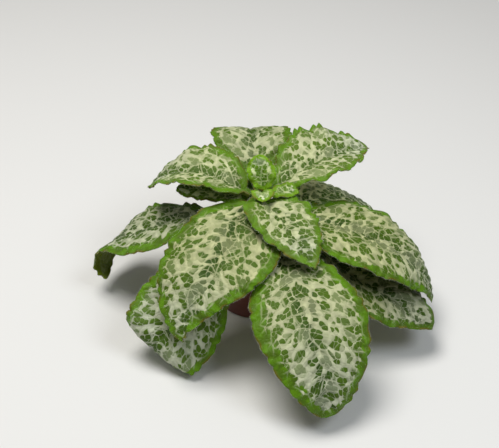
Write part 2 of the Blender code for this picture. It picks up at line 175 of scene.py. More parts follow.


# %% Write down the sixteen leaves
# Each leaf's brightness factor is partly painted light and shade: leaf_right_low is darker, as if
# in the shade of leaf_right, and leaf_back_right, leaf_back_left_small, crown_leaf_upright and
# crown_leaf_front are lighter, as painted light on leaves that lie in shade or glow from behind.
# The silver share partly paints pale glare, most on leaf_front_left_low and leaf_left.
LEAVES = (
    Leaf("leaf_front_left", 244, 89.5, 7, 108, (38, 36), (0.34, 0.51), (0.55, 0.45), (1.4, 0.55),
         (0, -20, -24, -44, -52), fold_left=(5, 5), fold_right=(12, 8), arch_left=(16, 22),
         arch_right=(13, 32), border=(5.6, 5.0)),
    Leaf("leaf_front", 290, 70, 24, 136, (39, 36), (0.54, 0.50), (0.85, 0.85), (0.48, 0.60),
         (3, 0, -14, -44, -76), fold_left=(12, 6), fold_right=(-6, 4), arch_left=(13, 29),
         arch_right=(22, 29), silver_and_painted_glare=0.15, border=(6.4, 7.8)),
    Leaf("leaf_front_right_small", 300, 89, 4, 66, (23, 24), (0.36, 0.26), (0.5, 0.35),
         (0.75, 0.75), (5, -4, -9, -13, -18), fold_left=(30, 10), fold_right=(30, 10),
         arch_left=(32, 32), arch_right=(32, 32), teeth=9, age="upper_leaf"),
    Leaf("leaf_right", 350, 73, 18, 128, (35, 38), (0.5, 0.32), (0.6, 0.6), (0.6, 0.9),
         (8, -3, -18, -42, -80), fold_left=(20, 6), fold_right=(20, 6), arch_left=(24, 40),
         arch_right=(24, 40)),
    Leaf("leaf_right_low", 336, 64, 26, 110, (33, 30), (0.6, 0.5), (0.75, 0.75), (0.4, 0.85),
         (8, -6, -34, -15, -24, -24), arch_left=(19, 35), arch_right=(19, 35), light=0.7),
    Leaf("leaf_back_right", 37, 69, 24, 84, (36, 34), (0.5, 0.5), (0.7, 0.7), (0.5, 0.5),
         (2, -2, -14, -30, -42), fold_left=(8, 2), fold_right=(8, 2), arch_left=(16, 32),
         arch_right=(16, 32), light=1.4),
    Leaf("leaf_back_right_high", 39, 88.5, 5, 91, (32, 25), (0.6, 0.46), (0.52, 0.7), (0.45, 1.0),
         (12, 14, 2, -8, -12), fold_left=(34, 14), fold_right=(22, 12), arch_left=(16, 16),
         arch_right=(16, 16), tooth=1.8, wave=2.0, border=(4.2, 3.4), age="upper_leaf"),
    Leaf("leaf_back", 97, 84, 5, 92, (30, 29), (0.56, 0.56), (1.2, 1.2), (0.7, 0.7),
         (10, 28, 13, -42, -62), fold_left=(6, 12), fold_right=(6, 12), arch_left=(16, 24),
         arch_right=(16, 24), age="upper_leaf", light=0.88),
    Leaf("leaf_back_left", 163, 88, 5, 79, (27, 30), (0.37, 0.55), (0.45, 0.35), (0.75, 0.4),
         (20, 12, -5, -32, -60), fold_left=(28, 8), fold_right=(34, 8), arch_left=(8, 8),
         arch_right=(24, 24), age="upper_leaf"),
    Leaf("leaf_back_left_small", 166, 83, 4, 50, (12, 16), (0.52, 0.52), (0.35, 0.45), (0.4, 0.4),
         (5, 5, 0, -5, -15), arch_left=(32, 48), arch_right=(32, 48), teeth=8, wave=0.5,
         age="upper_leaf", light=1.5, silver_and_painted_glare=0.2, border=(2.4, 2.4)),
    Leaf("leaf_left", 176, 75, 18, 122, (27, 31), (0.45, 0.62), (0.8, 0.75), (1.1, 0.8),
         (0, -15, -24, -29, -50, -160), fold_left=(-2, 6), fold_right=(18, 8), arch_left=(16, 24),
         arch_right=(16, 24), roll=(0, 5, 5, 5, 30, 50), silver_and_painted_glare=0.4, light=0.95,
         border=(7.0, 4.0)),
    Leaf("leaf_front_left_low", 240, 66, 28, 117, (34, 31), (0.6, 0.5), (0.75, 0.75), (0.5, 0.45),
         (5, -4, -22, -42, -37, -36, -150, -160), swing=(0, -2, -4, -8, -10, -10),
         roll=(0, -5, -16, -28, -28, -28), fold_left=(12, 8), fold_right=(12, 8), silver_and_painted_glare=0.6,
         light=1.1),
    Leaf("leaf_back_low", 103, 66, 26, 92, (24, 24), (0.5, 0.5), (0.7, 0.7), (0.75, 0.75),
         (12, 4, -22, -48, -62), fold_left=(15, 8), fold_right=(15, 8)),
    Leaf("crown_leaf_upright", 100, 91.9, 1, 24.5, (10.5, 10), (0.52, 0.46), (0.45, 0.55),
         (0.45, 0.55), (60, 66, 66, 60, 48), swing=(8, 8), fold_left=(36, 14),
         fold_right=(36, 14), arch_left=(34, 30), arch_right=(34, 30), teeth=7, tooth=0.8,
         waves=2.5, wave=0.8, start=(-1.0, -3.4), age="crown_leaf", light=1.18),
    Leaf("crown_leaf_right", 352, 92.2, 1.5, 20.5, (8.5, 7.5), (0.55, 0.40), (0.7, 0.3),
         (0.65, 0.65), (26, 20, 8, -3, -12), fold_left=(22, 10), fold_right=(8, 8),
         arch_left=(28, 32), arch_right=(16, 32), roll=(0, 4, 6, 6), teeth=6, tooth=0.7,
         waves=2, wave=0.7, start=(5.8, -1.2), age="crown_leaf"),
    Leaf("crown_leaf_front", 275, 92.6, 1, 15, (8.5, 7.5), (0.5, 0.5), (0.45, 0.45),
         (0.75, 0.75), (45, 30, 8, -12, -25), fold_left=(35, 10), fold_right=(35, 10),
         arch_left=(32, 32), arch_right=(32, 32), teeth=5, tooth=0.5, waves=2, wave=0.5,
         start=(2.8, 0.8), age="crown_leaf", light=1.2),
)
print("leaves:", len(LEAVES), "of which young:", sum(leaf.age == "crown_leaf" for leaf in LEAVES))

# %% [markdown]
# ## From measures to a curved sheet
# The midrib is a line of small steps, and a frame of three directions is carried along it, as a
# sweep along a curve does it. From each point the two halves of the blade set out to the left and
# the right, rise by their fold and bend down by their arch. One could also bend a flat grid with
# modifiers, but the carried frame keeps every width true, also where a leaf rolls.

# %% Smooth tracks and running sums
def through(stations, at):
    """A smooth curve through evenly spaced stations, read at 0 to 1."""
    spots = np.linspace(0, 1, len(stations))
    values = np.asarray(stations, float)
    slopes = np.gradient(values, spots)
    i = np.clip(np.searchsorted(spots, at, side="right") - 1, 0, len(spots) - 2)
    step = spots[i + 1] - spots[i]
    u = (at - spots[i]) / step
    start = (2 * u**3 - 3 * u**2 + 1) * values[i] + (u**3 - 2 * u**2 + u) * step * slopes[i]
    end = (3 * u**2 - 2 * u**3) * values[i + 1] + (u**3 - u**2) * step * slopes[i + 1]
    return start + end


def running_sum(values, spacing):
    """The running integral of values along the first axis, by trapezoids."""
    steps = (values[1:] + values[:-1]) / 2 * spacing
    return np.concatenate([np.zeros_like(values[:1]), np.cumsum(steps, axis=0)])


def tilted(first, second, angle):
    """Two axes of a frame after a turn that carries the first one towards the second."""
    cos = math.cos(angle)
    sin = math.sin(angle)
    return cos * first + sin * second, cos * second - sin * first


# %% The midrib and its carried frame
MIDRIB_STEPS = 400


def centre_line(leaf, rows):
    """Points on the midrib, and the directions to the left and out of the leaf there."""
    fine = np.linspace(0, 1, MIDRIB_STEPS + 1)
    angles = np.radians([through(track, fine) for track in (leaf.pitch, leaf.swing, leaf.roll)])
    azimuth = math.radians(leaf.azimuth)
    ahead = np.array([math.cos(azimuth), math.sin(azimuth), 0.0])
    left = np.array([-math.sin(azimuth), math.cos(azimuth), 0.0])
    out = np.array([0.0, 0.0, 1.0])
    first = leaf.start[0] * ahead + leaf.start[1] * left + leaf.height * out
    frames = []
    for pitch, swing, roll in np.diff(angles, axis=1, prepend=0).T:
        ahead, out = tilted(ahead, out, pitch)
        ahead, left = tilted(ahead, left, swing)
        left, out = tilted(left, out, roll)
        frames.append((ahead, left, out))
    frames = np.array(frames)
    length = leaf.petiole + leaf.blade
    points = first + running_sum(frames[:, 0], length / MIDRIB_STEPS)
    return [np.stack([np.interp(rows, fine, axis) for axis in track.T], axis=1)
            for track in (points, frames[:, 1], frames[:, 2])]


# %% [markdown]
# ## The outline
# The half width follows a sine that is pulled towards the widest place, with a blunter or more
# tapered base and tip. The margin is scalloped: between two round lobes it draws in to a narrow
# notch, which the absolute value of a cosine gives. No two lobes are quite alike, because their
# width drifts and each notch has a depth of its own.

# %% Half widths, scallops and ripples
PETIOLE_HALF_WIDTH = 2.6
TIP_HALF_WIDTH = 0.8
STALK_END = 0.6            # share of the blade over which the stalk's width dies away
STALK_LEAST = 0.3
TOOTH_FADE = (0.12, 0.05)  # shares of the blade without full scallops, at its base and tip
TOOTH_CROWDING = 1.2       # draws the scallops together towards the tip
NOTCH_SHARPNESS = 0.75
NOTCH_RANGE = (0.5, 1.5)   # the shallowest and deepest notch, in a leaf's tooth depths
LOBE_DRIFT = 0.30          # how much wider or narrower a lobe can be than the next
SMALL_TEETH = 3            # small teeth on each lobe
SMALL_TOOTH = 0.22         # their depth, in tooth depths
FLUTTER = 0.55             # how far a lobe lifts or dips, in tooth depths
WAVE_FADE = (0.20, 0.17)   # as TOOTH_FADE, for the waves
WAVE_SHIFT = 0.31          # how far the two margins' waves are apart, in waves
WAVE_POWER = 2.2           # a higher power keeps the waves nearer to the margin
FLUTTER_POWER = 6          # the same for the lobes' lift


def leaf_scale(leaf):
    """How slight the stalk and ribs of a small leaf are, beside those of a full-grown one."""
    return min(1.0, 0.4 + 0.01 * leaf.blade)


def half_width(leaf, side, along):
    """Half width of the blade on one side, where along runs from its base (0) to its tip (1)."""
    power = math.log(0.5) / math.log(leaf.widest[side])
    bluntness = leaf.base[side] + (leaf.tip[side] - leaf.base[side]) * along
    bow = np.clip(np.sin(np.pi * along**power), 0, 1) ** bluntness
    stalk = PETIOLE_HALF_WIDTH * leaf_scale(leaf) * np.clip(1 - along / STALK_END, STALK_LEAST, 1)
    return np.maximum(np.hypot(leaf.half[side] * bow, stalk), TIP_HALF_WIDTH)


def faded(along, fade):
    """1 along the blade, and falling to 0 over the given shares of it at its base and tip."""
    return np.clip(along / fade[0], 0, 1) * np.clip((1 - along) / fade[1], 0, 1)


def lobes(leaf, side, along):
    """The number of lobes from the base up to each place; they aren't all of one width."""
    turn = (1 - (1 - along) ** (1 / TOOTH_CROWDING)) * leaf.teeth + side / 2
    return turn + LOBE_DRIFT * np.sin(2.3 * turn + leaf.azimuth)


def notches(leaf, side, along):
    """How far the margin draws in between its round lobes, with small teeth on each lobe."""
    turn = lobes(leaf, side, along)
    chance = (np.sin(12.9 * (np.floor(turn) + 1) + leaf.azimuth) * 437.5) % 1
    notch = 1 - np.abs(np.cos(np.pi * turn)) ** NOTCH_SHARPNESS
    small = 1 - np.abs(np.cos(SMALL_TEETH * np.pi * turn))
    depth = leaf.tooth * (NOTCH_RANGE[0] + (NOTCH_RANGE[1] - NOTCH_RANGE[0]) * chance)
    return (depth * notch + SMALL_TOOTH * leaf.tooth * small) * faded(along, TOOTH_FADE)


def ripples(leaf, side, along):
    """How far the margin waves up and down."""
    wave = np.sin(2 * np.pi * (leaf.waves * along + WAVE_SHIFT * side))
    return leaf.wave * wave * faded(along, WAVE_FADE)


def flutter(leaf, side, along):
    """How far each lobe lifts or dips at the margin itself."""
    turn = lobes(leaf, side, along)
    return FLUTTER * leaf.tooth * np.sin(2 * np.pi * turn + 1.0) * faded(along, TOOTH_FADE)


# %% [markdown]
# ## Veins as a second set of coordinates
# A side vein leaves the midrib at an angle and curves towards the tip. If each point of the blade
# knows where its own side vein left the midrib, the veins become plain stripes: that one number
# sinks the furrows in the mesh here, and later tells the colour pattern how near a vein is.

# %% Vein coordinates and relief
VEIN_SPACING = 8.5         # mm between side veins at the midrib
VEIN_LEAN = 0.75           # how far a vein runs forward per mm that it runs outwards
VEIN_CURVE = 0.006
NET_LEAN = 0.22            # the same for the cells of the net, which lean less than the veins
FURROW = 0.34              # depth of the side veins' furrows on the upper side
FURROW_WIDTH = 1.0
MIDRIB_FURROW = 0.75
MIDRIB_WIDTH = 1.5
QUILT = 0.42               # how far the blade swells between its veins
CELL_QUILT = 0.14          # and between the small cross veins
CROSS_SPACING = 5.1        # mm between cross veins
RELIEF_FADE = (10, 4)      # mm from the blade's base and margin over which the relief grows
BASE_FADE = 6              # mm over which the petiole turns into the blade


def vein_place(x, y):
    """Where the side vein through a point of the flat blade left the midrib, in mm."""
    return x - VEIN_LEAN * np.abs(y) - VEIN_CURVE * y**2


def net_place(x, y):
    """Where a point of the flat blade lies in the net: its cells lean along the veins."""
    return np.stack([x - NET_LEAN * np.abs(y), y, 0 * y], axis=2)


def from_side_vein(leaf, x, y):
    """How far a point of the flat blade is from the nearest side vein, along the midrib."""
    spacing = VEIN_SPACING * leaf_scale(leaf)
    place = vein_place(x, y) / spacing
    return np.abs(place - np.round(place)) * spacing


def relief(leaf, x, y, to_margin):
    """How far the upper side rises at a point of the flat blade."""
    size = leaf_scale(leaf)
    place = vein_place(x, y) / (VEIN_SPACING * size)
    from_vein = from_side_vein(leaf, x, y)
    on_blade = np.clip(x / RELIEF_FADE[0], 0, 1) * np.clip(to_margin / RELIEF_FADE[1], 0, 1)
    furrow = FURROW * np.exp(-((from_vein / FURROW_WIDTH) ** 2))
    arch = np.sin(np.pi * (place % 1))
    across = np.sin(2 * np.pi * y / CROSS_SPACING + 1.7 * np.round(place))
    swell = QUILT * arch**2 + CELL_QUILT * across * arch
    midrib = MIDRIB_FURROW * np.exp(-((y / MIDRIB_WIDTH) ** 2)) * np.clip(x / BASE_FADE + 1, 0, 1)
    return size * (on_blade * (swell - furrow) - midrib)


# %% [markdown]
# ## The leaf as one closed body
# The blade needs real thickness, a stalk and ribs that stand out below, and a rounded edge. So
# each row of the leaf is a ring: the upper side from right to left, one point on the rounded
# edge, the lower side back again, and the other edge. Rings joined in a row make a closed skin.

# %% Thickness and the closed ring mesh
COLUMNS = 30               # from the midrib to each margin
ROW_STEP = 0.9             # mm between rows
PETIOLE_DEPTH = 3.4
PETIOLE_ROUNDING = 0.55    # the share of its depth that the petiole loses at its sides
RIB_DEPTH = (2.4, 1.3)     # along the midrib, at the blade's base and tip
RIB_WIDTH = 1.9
SIDE_RIB = 0.45            # the side veins below
SIDE_RIB_WIDTH = 0.9
SIDE_RIB_START = 0.125     # share of the blade over which they grow
BLADE_DEPTH = 1.1
MARGIN_DEPTH = 0.75
EDGE_ROUNDING = 0.32       # how far the rounded edge stands out, in thicknesses
THINNING = 0.25            # share of the blade over which the petiole's depth dies away
BASE_BORDER = 0.8          # how much wider the green border is at the blade's base
TIP_EDGE = 0.3             # mm from the last row to the margin at the tip


def thickness(leaf, along, place, x, y):
    """Thickness of the leaf, where place is 0 at the midrib and 1 at the margin."""
    from_vein = from_side_vein(leaf, x, y)
    rib = RIB_DEPTH[0] + (RIB_DEPTH[1] - RIB_DEPTH[0]) * along
    flat = BLADE_DEPTH + (MARGIN_DEPTH - BLADE_DEPTH) * place
    side_rib = SIDE_RIB * np.exp(-(from_vein / SIDE_RIB_WIDTH) ** 2) * (1 - place)
    flat = flat + side_rib * np.clip(along / SIDE_RIB_START, 0, 1)
    blade = flat + (rib - flat) * np.exp(-((y / RIB_WIDTH) ** 2))
    stalk = PETIOLE_DEPTH * (1 - PETIOLE_ROUNDING * place**2.5)
    return (stalk + (blade - stalk) * np.clip(along / THINNING, 0, 1)) * leaf_scale(leaf)


def leaf_sheet(leaf):
    """The upper surface in mm as rows of points, right to left, with each point's measures."""
    length = leaf.petiole + leaf.blade
    rows = np.linspace(0, 1, int(length / ROW_STEP) + 2)
    split = leaf.petiole / length
    along = np.clip((rows - split) / (1 - split), 0, 1)
    centre, left, out = centre_line(leaf, rows)
    fine = np.linspace(0, 1, 2 * COLUMNS + 1)
    sheet = np.zeros((len(rows), 2 * COLUMNS + 1, 3))
    facts = {key: np.zeros(sheet.shape[:2])
             for key in ("x", "y", "place", "along", "to_margin", "in_border")}
    sides = ((1, leaf.fold_left, leaf.arch_left), (-1, leaf.fold_right, leaf.arch_right))
    for side, (sign, fold, arch) in enumerate(sides):
        full = half_width(leaf, side, along)
        notch = notches(leaf, side, along)
        slope = np.radians(through(fold, along) - np.outer(fine, through(arch, along)))
        reach = running_sum(np.cos(slope), fine[1])
        rise = running_sum(np.sin(slope), fine[1])
        ripple = ripples(leaf, side, along)
        lift_of_lobes = flutter(leaf, side, along)
        lean = np.cos(np.arctan(np.gradient(full, rows * length)))
        for k in range(COLUMNS + 1):
            place = k / COLUMNS
            width = full - notch * place**2
            column = COLUMNS + sign * k
            sideways = (sign * reach[2 * k] * width)[:, None]
            lift = rise[2 * k] * width + ripple * place**WAVE_POWER
            lift = (lift + lift_of_lobes * place**FLUTTER_POWER)[:, None]
            sheet[:, column] = centre + left * sideways + out * lift
            facts["x"][:, column] = rows * length - leaf.petiole
            facts["y"][:, column] = sign * place * full
            facts["place"][:, column] = place
            facts["along"][:, column] = along
            to_margin = np.minimum((1 - place) * full * lean, TIP_EDGE + length * (1 - rows))
            wide = leaf.border[side] * leaf_scale(leaf) * (1 + BASE_BORDER * (1 - along) ** 3)
            facts["to_margin"][:, column] = to_margin
            facts["in_border"][:, column] = to_margin / wide
    return sheet, facts


def outward(sheet):
    """The direction out of the sheet at each of its points."""
    normal = np.cross(np.gradient(sheet, axis=0), np.gradient(sheet, axis=1))
    return normal / np.maximum(np.linalg.norm(normal, axis=2, keepdims=True), 1e-9)


def leaf_body(leaf):
    """The leaf's closed mesh: rings of upper side, edge, lower side and edge, with capped ends."""
    sheet, facts = leaf_sheet(leaf)
    normal = outward(sheet)
    depth = thickness(leaf, facts["along"], facts["place"], facts["x"], facts["y"])[..., None]
    upper = sheet + normal * relief(leaf, facts["x"], facts["y"], facts["to_margin"])[..., None]
    lower = sheet - normal * depth
    middle = (upper + lower) / 2
    edges = []
    for end, inner in ((-1, -2), (0, 1)):
        sideways = sheet[:, end] - sheet[:, inner]
        sideways /= np.maximum(np.linalg.norm(sideways, axis=1, keepdims=True), 1e-9)
        edges.append((middle[:, end] + sideways * depth[:, end] * EDGE_ROUNDING)[:, None])
    rings = np.concatenate([upper, edges[0], lower[:, ::-1], edges[1]], axis=1)
    count, around = rings.shape[:2]
    index = np.arange(count * around).reshape(count, around)
    ahead = np.roll(index, -1, axis=1)
    quads = np.stack([index[:-1], index[1:], ahead[1:], ahead[:-1]], axis=2).reshape(-1, 4)
    across = upper.shape[1]
    faces = [quads]
    for row, flip in ((0, False), (-1, True)):
        top = index[row, :across]
        under = index[row, across + 1:2 * across + 1][::-1]
        cap = np.stack([top[:-1], top[1:], under[1:], under[:-1]], axis=1)
        faces.append(cap[:, ::-1] if flip else cap)
        for corner in ((top[-1], index[row, across], under[-1]),
                       (top[0], under[0], index[row, -1])):
            faces.append(np.array([corner[::-1] if flip else corner]))
    x = facts["x"]
    y = facts["y"]
    flat = {"to_margin": facts["to_margin"], "in_border": facts["in_border"],
            "to_midrib": np.abs(y), "from_vein": from_side_vein(leaf, x, y),
            "on_blade": np.clip(x / BASE_FADE + 0.5, 0, 1)}
    measures = {name: values[..., None] for name, values in flat.items()}
    measures["net_place"] = net_place(x, y)
    for name, values in measures.items():
        measures[name] = np.concatenate(
            [values, values[:, -1:], values[:, ::-1], values[:, :1]], axis=1)
    below = np.zeros((count, around, 1))
    below[:, across + 1:2 * across + 1] = 1
    below[:, [across, -1]] = 0.5
    measures["below"] = below
    return rings, faces, measures, (upper, normal)


# %% Turn points and faces into an object
def add_mesh(name, points, faces, look, measures):
    """A smooth-shaded object from points in mm and groups of faces, with named measures."""
    mesh = bpy.data.meshes.new(name)
    flat = [tuple(face) for group in faces for face in np.asarray(group).tolist()]
    mesh.from_pydata((np.reshape(points, (-1, 3)) * MM).tolist(), [], flat)
    for key, values in measures.items():
        kind = "FLOAT_VECTOR" if values.shape[-1] == 3 else "FLOAT"
        attribute = mesh.attributes.new(key, kind, "POINT")
        field = "vector" if kind == "FLOAT_VECTOR" else "value"
        attribute.data.foreach_set(field, values.astype(np.float32).ravel())
    mesh.shade_smooth()
    mesh.materials.append(look)
    return in_scene(name, mesh)


# %% [markdown]
# ## Writing shader nodes as steps
# A material is a small program. Short helpers keep it readable: one adds any node and fills its
# inputs, and the others add the few kinds that every material here is made of.

# %% Helpers for node trees
def fill(tree, node, feeds):
    """Fills a node's inputs by name or number, each with a value or with a link."""
    for key, value in feeds.items():
        if isinstance(value, bpy.types.NodeSocket):
            tree.links.new(value, node.inputs[key])
        else:
            node.inputs[key].default_value = value


def step(tree, kind, feeds=None, out=0, **settings):
    """Adds a node, sets it up, fills its inputs and gives one output."""
    made = tree.nodes.new("ShaderNode" + kind)
    for name, value in settings.items():
        setattr(made, name, value)
    fill(tree, made, feeds or {})
    return made.outputs[out]


def reckon(tree, operation, first, second=0.0, clamp=False):
    """A Math node."""
    return step(tree, "Math", {0: first, 1: second}, operation=operation, use_clamp=clamp)


def soft(tree, value, low, high, start=0.0, end=1.0):
    """Start where the value is low, end where it is high, and a smooth passage between."""
    return step(tree, "MapRange", {0: value, 1: low, 2: high, 3: start, 4: end},
                interpolation_type="SMOOTHSTEP")


def blended(tree, factor, first, second):
    """A mix of two colours."""
    return step(tree, "Mix", {0: factor, 6: first, 7: second}, out=2, data_type="RGBA")


def new_group(name, inputs, outputs):
    """An empty shader node group, its input values and the sockets that take its results."""
    group = bpy.data.node_groups.new(name, "ShaderNodeTree")
    for label, value in inputs.items():
        kind = "NodeSocketVector" if value is None else "NodeSocketFloat"
        socket = group.interface.new_socket(label, in_out="INPUT", socket_type=kind)
        if value is not None:
            socket.default_value = value
    for label in outputs:
        group.interface.new_socket(label, in_out="OUTPUT", socket_type="NodeSocketFloat")
    given = group.nodes.new("NodeGroupInput").outputs
    result = group.nodes.new("NodeGroupOutput").inputs
    return group, given, result


def placed(tree, group, feeds):
    """Puts a node group in a tree, with its inputs filled, and gives back all its outputs."""
    made = tree.nodes.new("ShaderNodeGroup")
    made.node_tree = group
    fill(tree, made, feeds)
    return made.outputs


def measure(tree, name, out="Fac"):
    """Reads a named measure of the mesh."""
    return step(tree, "Attribute", out=out, attribute_name=name)


def flat_noise(tree, place, scale, detail, out=0):
    """Noise over a flat place."""
    return step(tree, "TexNoise", {"Vector": place, "Scale": scale, "Detail": detail}, out=out,
                noise_dimensions="2D")


def flat_cells(tree, place, scale, out=0, **settings):
    """Voronoi cells over a flat place."""
    return step(tree, "TexVoronoi", {"Vector": place, "Scale": scale}, out=out,
                voronoi_dimensions="2D", **settings)


def bumped(tree, strength, distance, height):
    """A normal that follows a height; the distance is in metres."""
    return step(tree, "Bump", {"Strength": strength, "Distance": distance, "Height": height})


def new_look(name):
    """A new material, its node tree and its shader."""
    made = bpy.data.materials.new(name)
    made.use_nodes = True
    return made, made.node_tree, made.node_tree.nodes["Principled BSDF"]


# %% [markdown]
# ## The cream net
# The leaf's best known feature. Between the veins lie green cells of a few millimetres, each a
# cluster of small round lobes, and the tissue along the veins is cream. A Voronoi texture gives
# cells. Asking a coarse one how far a fine one's cell centre is from its border paints whole
# small cells at once, and that makes the lobed clusters. Three sizes of noise shift every place
# first, so that no border is straight, and the whole leans a little along the side veins.

# %% Start the net group and shift the places
CLUSTER_SIZE = 8.6         # mm across the coarse cells of a full-grown leaf
FINE_SCALE = 2.8           # how much smaller the fine cells are
DRIFT_SCALE = 0.45         # slow changes over the blade
WOBBLES = ((0.7, 0.22), (2.6, 0.055), (7.0, 0.016))  # scale and reach of each noise, in clusters

net_group, given, result = new_group(
    "cream_net",
    {"Place": None, "To Midrib": 10.0, "To Margin": 10.0, "From Vein": 5.0,
     "Cell": CLUSTER_SIZE, "In Border": 2.0, "Seed": 0.0},
    ("Net", "Tone", "Border", "Cells"))
tree = net_group
seed_y = reckon(tree, "MULTIPLY", given["Seed"], 1.7)
shift = step(tree, "CombineXYZ", {0: given["Seed"], 1: seed_y})
spot = step(tree, "VectorMath", {0: given["Place"], 1: shift}, operation="ADD")
spot = step(tree, "VectorMath", {0: spot, 3: reckon(tree, "DIVIDE", 1.0, given["Cell"])},
            operation="SCALE")
drift = flat_noise(tree, spot, DRIFT_SCALE, 1.0)
for scale, reach in WOBBLES:
    wobble = flat_noise(tree, spot, scale, 0.0, out="Color")
    wobble = step(tree, "VectorMath", {0: wobble, 1: (0.5, 0.5, 0.5)}, operation="SUBTRACT")
    wobble = step(tree, "VectorMath", {0: wobble, 3: 2 * reach}, operation="SCALE")
    spot = step(tree, "VectorMath", {0: spot, 1: wobble}, operation="ADD")

# %% Find the fine cells and their clusters
LOBE_START = 0.30          # how far from its middle a fine cell begins to draw in
LOBE_PULL = 0.45           # and how strongly it does, which rounds its corners

centre_of_cell = flat_cells(tree, spot, FINE_SCALE, out="Position")
cell_chance = flat_cells(tree, spot, FINE_SCALE, out="Color")
cell_chance = step(tree, "SeparateColor", {0: cell_chance})
cluster_chance = flat_cells(tree, centre_of_cell, 1.0, out="Color")
cluster_chance = step(tree, "SeparateColor", {0: cluster_chance})
fine_edge = flat_cells(tree, spot, FINE_SCALE, feature="DISTANCE_TO_EDGE")
fine_middle = flat_cells(tree, spot, FINE_SCALE)
outwards = reckon(tree, "SUBTRACT", fine_middle, LOBE_START)
lobe = reckon(tree, "SUBTRACT", fine_edge, reckon(tree, "MULTIPLY", outwards, LOBE_PULL))
coarse_here = flat_cells(tree, spot, 1.0, feature="DISTANCE_TO_EDGE")
coarse_there = flat_cells(tree, centre_of_cell, 1.0, feature="DISTANCE_TO_EDGE")

# %% Make the cream strands between the clusters
STRAND = (0.03, 0.19)      # half width of the strands where they are thin and wide, in clusters
MID_BAND = 0.50            # where the strands are widest, from the midrib (0) to the margin (1)
STRAND_EDGE = (0.05, 0.035)
LOBE_EDGE = (-0.15, -0.05)

place = reckon(tree, "DIVIDE", given["To Midrib"],
               reckon(tree, "ADD", given["To Midrib"], given["To Margin"]))
band = reckon(tree, "ABSOLUTE", reckon(tree, "SUBTRACT", place, MID_BAND))
from_base = step(tree, "SeparateXYZ", {0: given["Place"]})
strand = soft(tree, drift, 0.34, 0.66, *STRAND)
for distance, near, far, added in ((band, 0.0, 0.30, 0.03), (given["From Vein"], 0.3, 1.6, 0.05),
                                   (given["To Midrib"], 2.0, 9.0, -0.06),
                                   (from_base, 0.0, 35.0, -0.06)):
    strand = reckon(tree, "ADD", strand, soft(tree, distance, near, far, added, 0.0))
green = soft(tree, coarse_there, reckon(tree, "SUBTRACT", strand, STRAND_EDGE[0]),
             reckon(tree, "ADD", strand, STRAND_EDGE[1]))
green = reckon(tree, "MULTIPLY", green, soft(tree, lobe, *LOBE_EDGE))

# %% Add pale lines, a haze and the green border
LINE = (0.05, 0.32)        # how pale the lines between fine cells are, at the least and the most
THREAD = 0.60              # the same for the line between two clusters
HALF_TONE = 0.32           # and for whole clusters that the cream nearly covers
HAZE = 0.78                # how pale the strands still are far from their middle
UNEVEN = 0.55              # how unevenly the border ends, in border widths
SPUR = 0.6                 # how pale the lines are that run on into the border
GROOVE = 0.45              # and the midrib

line = soft(tree, fine_edge, 0.02, 0.14, soft(tree, drift, 0.30, 0.70, *LINE), 0.0)
thread = soft(tree, coarse_here, 0.02, 0.10, THREAD, 0.0)
half_tone = soft(tree, cluster_chance, 0.70, 0.95, 0.0, HALF_TONE)
net = reckon(tree, "SUBTRACT", 1.0, green)
for other in (line, thread, half_tone):
    net = reckon(tree, "MAXIMUM", net, other)
haze = reckon(tree, "ADD", soft(tree, coarse_here, 0.02, 0.18, 1.0, HAZE),
              reckon(tree, "MULTIPLY", reckon(tree, "SUBTRACT", cell_chance, 0.6), 0.20))
net = reckon(tree, "MINIMUM", net, haze)
uneven = reckon(tree, "MULTIPLY", reckon(tree, "SUBTRACT", cell_chance, 0.5), UNEVEN)
rim = soft(tree, reckon(tree, "ADD", given["In Border"], uneven), 0.92, 1.08, 1.0, 0.0)
spur = reckon(tree, "MULTIPLY", thread, soft(tree, given["In Border"], 0.35, 0.95, 0.0, SPUR))
inside = reckon(tree, "MULTIPLY", net, reckon(tree, "SUBTRACT", 1.0, rim))
groove = soft(tree, given["To Midrib"], 0.3, 0.8, GROOVE, 0.0)
net = reckon(tree, "MAXIMUM", inside, reckon(tree, "MULTIPLY", spur, rim))
net = reckon(tree, "MAXIMUM", net, reckon(tree, "MULTIPLY", groove, inside))
tone = reckon(tree, "ADD", reckon(tree, "MULTIPLY", cluster_chance, 0.6),
              reckon(tree, "MULTIPLY", cell_chance, 0.4))
for name, value in (("Net", net), ("Tone", tone), ("Border", rim), ("Cells", fine_edge)):
    tree.links.new(value, result[name])
print("net group nodes:", len(net_group.nodes))

# %% [markdown]
# ## Leaf colours
# Three ages of leaf share the net but not its colours. A mature blade is a deep green with a
# cream to silver net, an upper leaf is fresher, and a crown leaf is yellow-green. Below, a blade
# is paler and plainer, because the net is thin there. Towards the tip the cream turns silver,
# and here and there the margin has an olive edge. Each leaf's colours are also lighter or darker
# as painted light and shade, and part of its silver is painted glare. A weak sheen stands for
# the finest hairs.

# %% Build a leaf's material
PALETTES = {
    # slot: deep green, bright green, cream, border green, underside
    "mature_leaf": ((0.028, 0.066, 0.002), (0.070, 0.135, 0.004), (0.53, 0.54, 0.275),
                    (0.100, 0.230, 0.002), (0.150, 0.200, 0.008)),
    "upper_leaf": ((0.046, 0.095, 0.006), (0.100, 0.175, 0.014), (0.58, 0.60, 0.33),
                   (0.110, 0.235, 0.006), (0.150, 0.200, 0.020)),
    "crown_leaf": ((0.060, 0.140, 0.004), (0.130, 0.250, 0.006), (0.58, 0.64, 0.32),
                   (0.160, 0.320, 0.008), (0.160, 0.240, 0.015)),
}
# A silver tint; where a leaf's silver share mixes it into the cream, it partly paints glare.
SILVER = (0.53, 0.57, 0.47)
OLIVE = (0.150, 0.115, 0.010, 1.0)
CREAM_SHADE = 0.82         # how dark the cream is in its mottles
UNDER_NET = 0.15           # how strongly the net shows below


def shaded(colour, light):
    """A colour with its fourth value, made lighter or darker: by a leaf's painted light and shade,
    or for the cream's mottles.
    """
    return (*[min(1.0, part * light) for part in colour], 1.0)


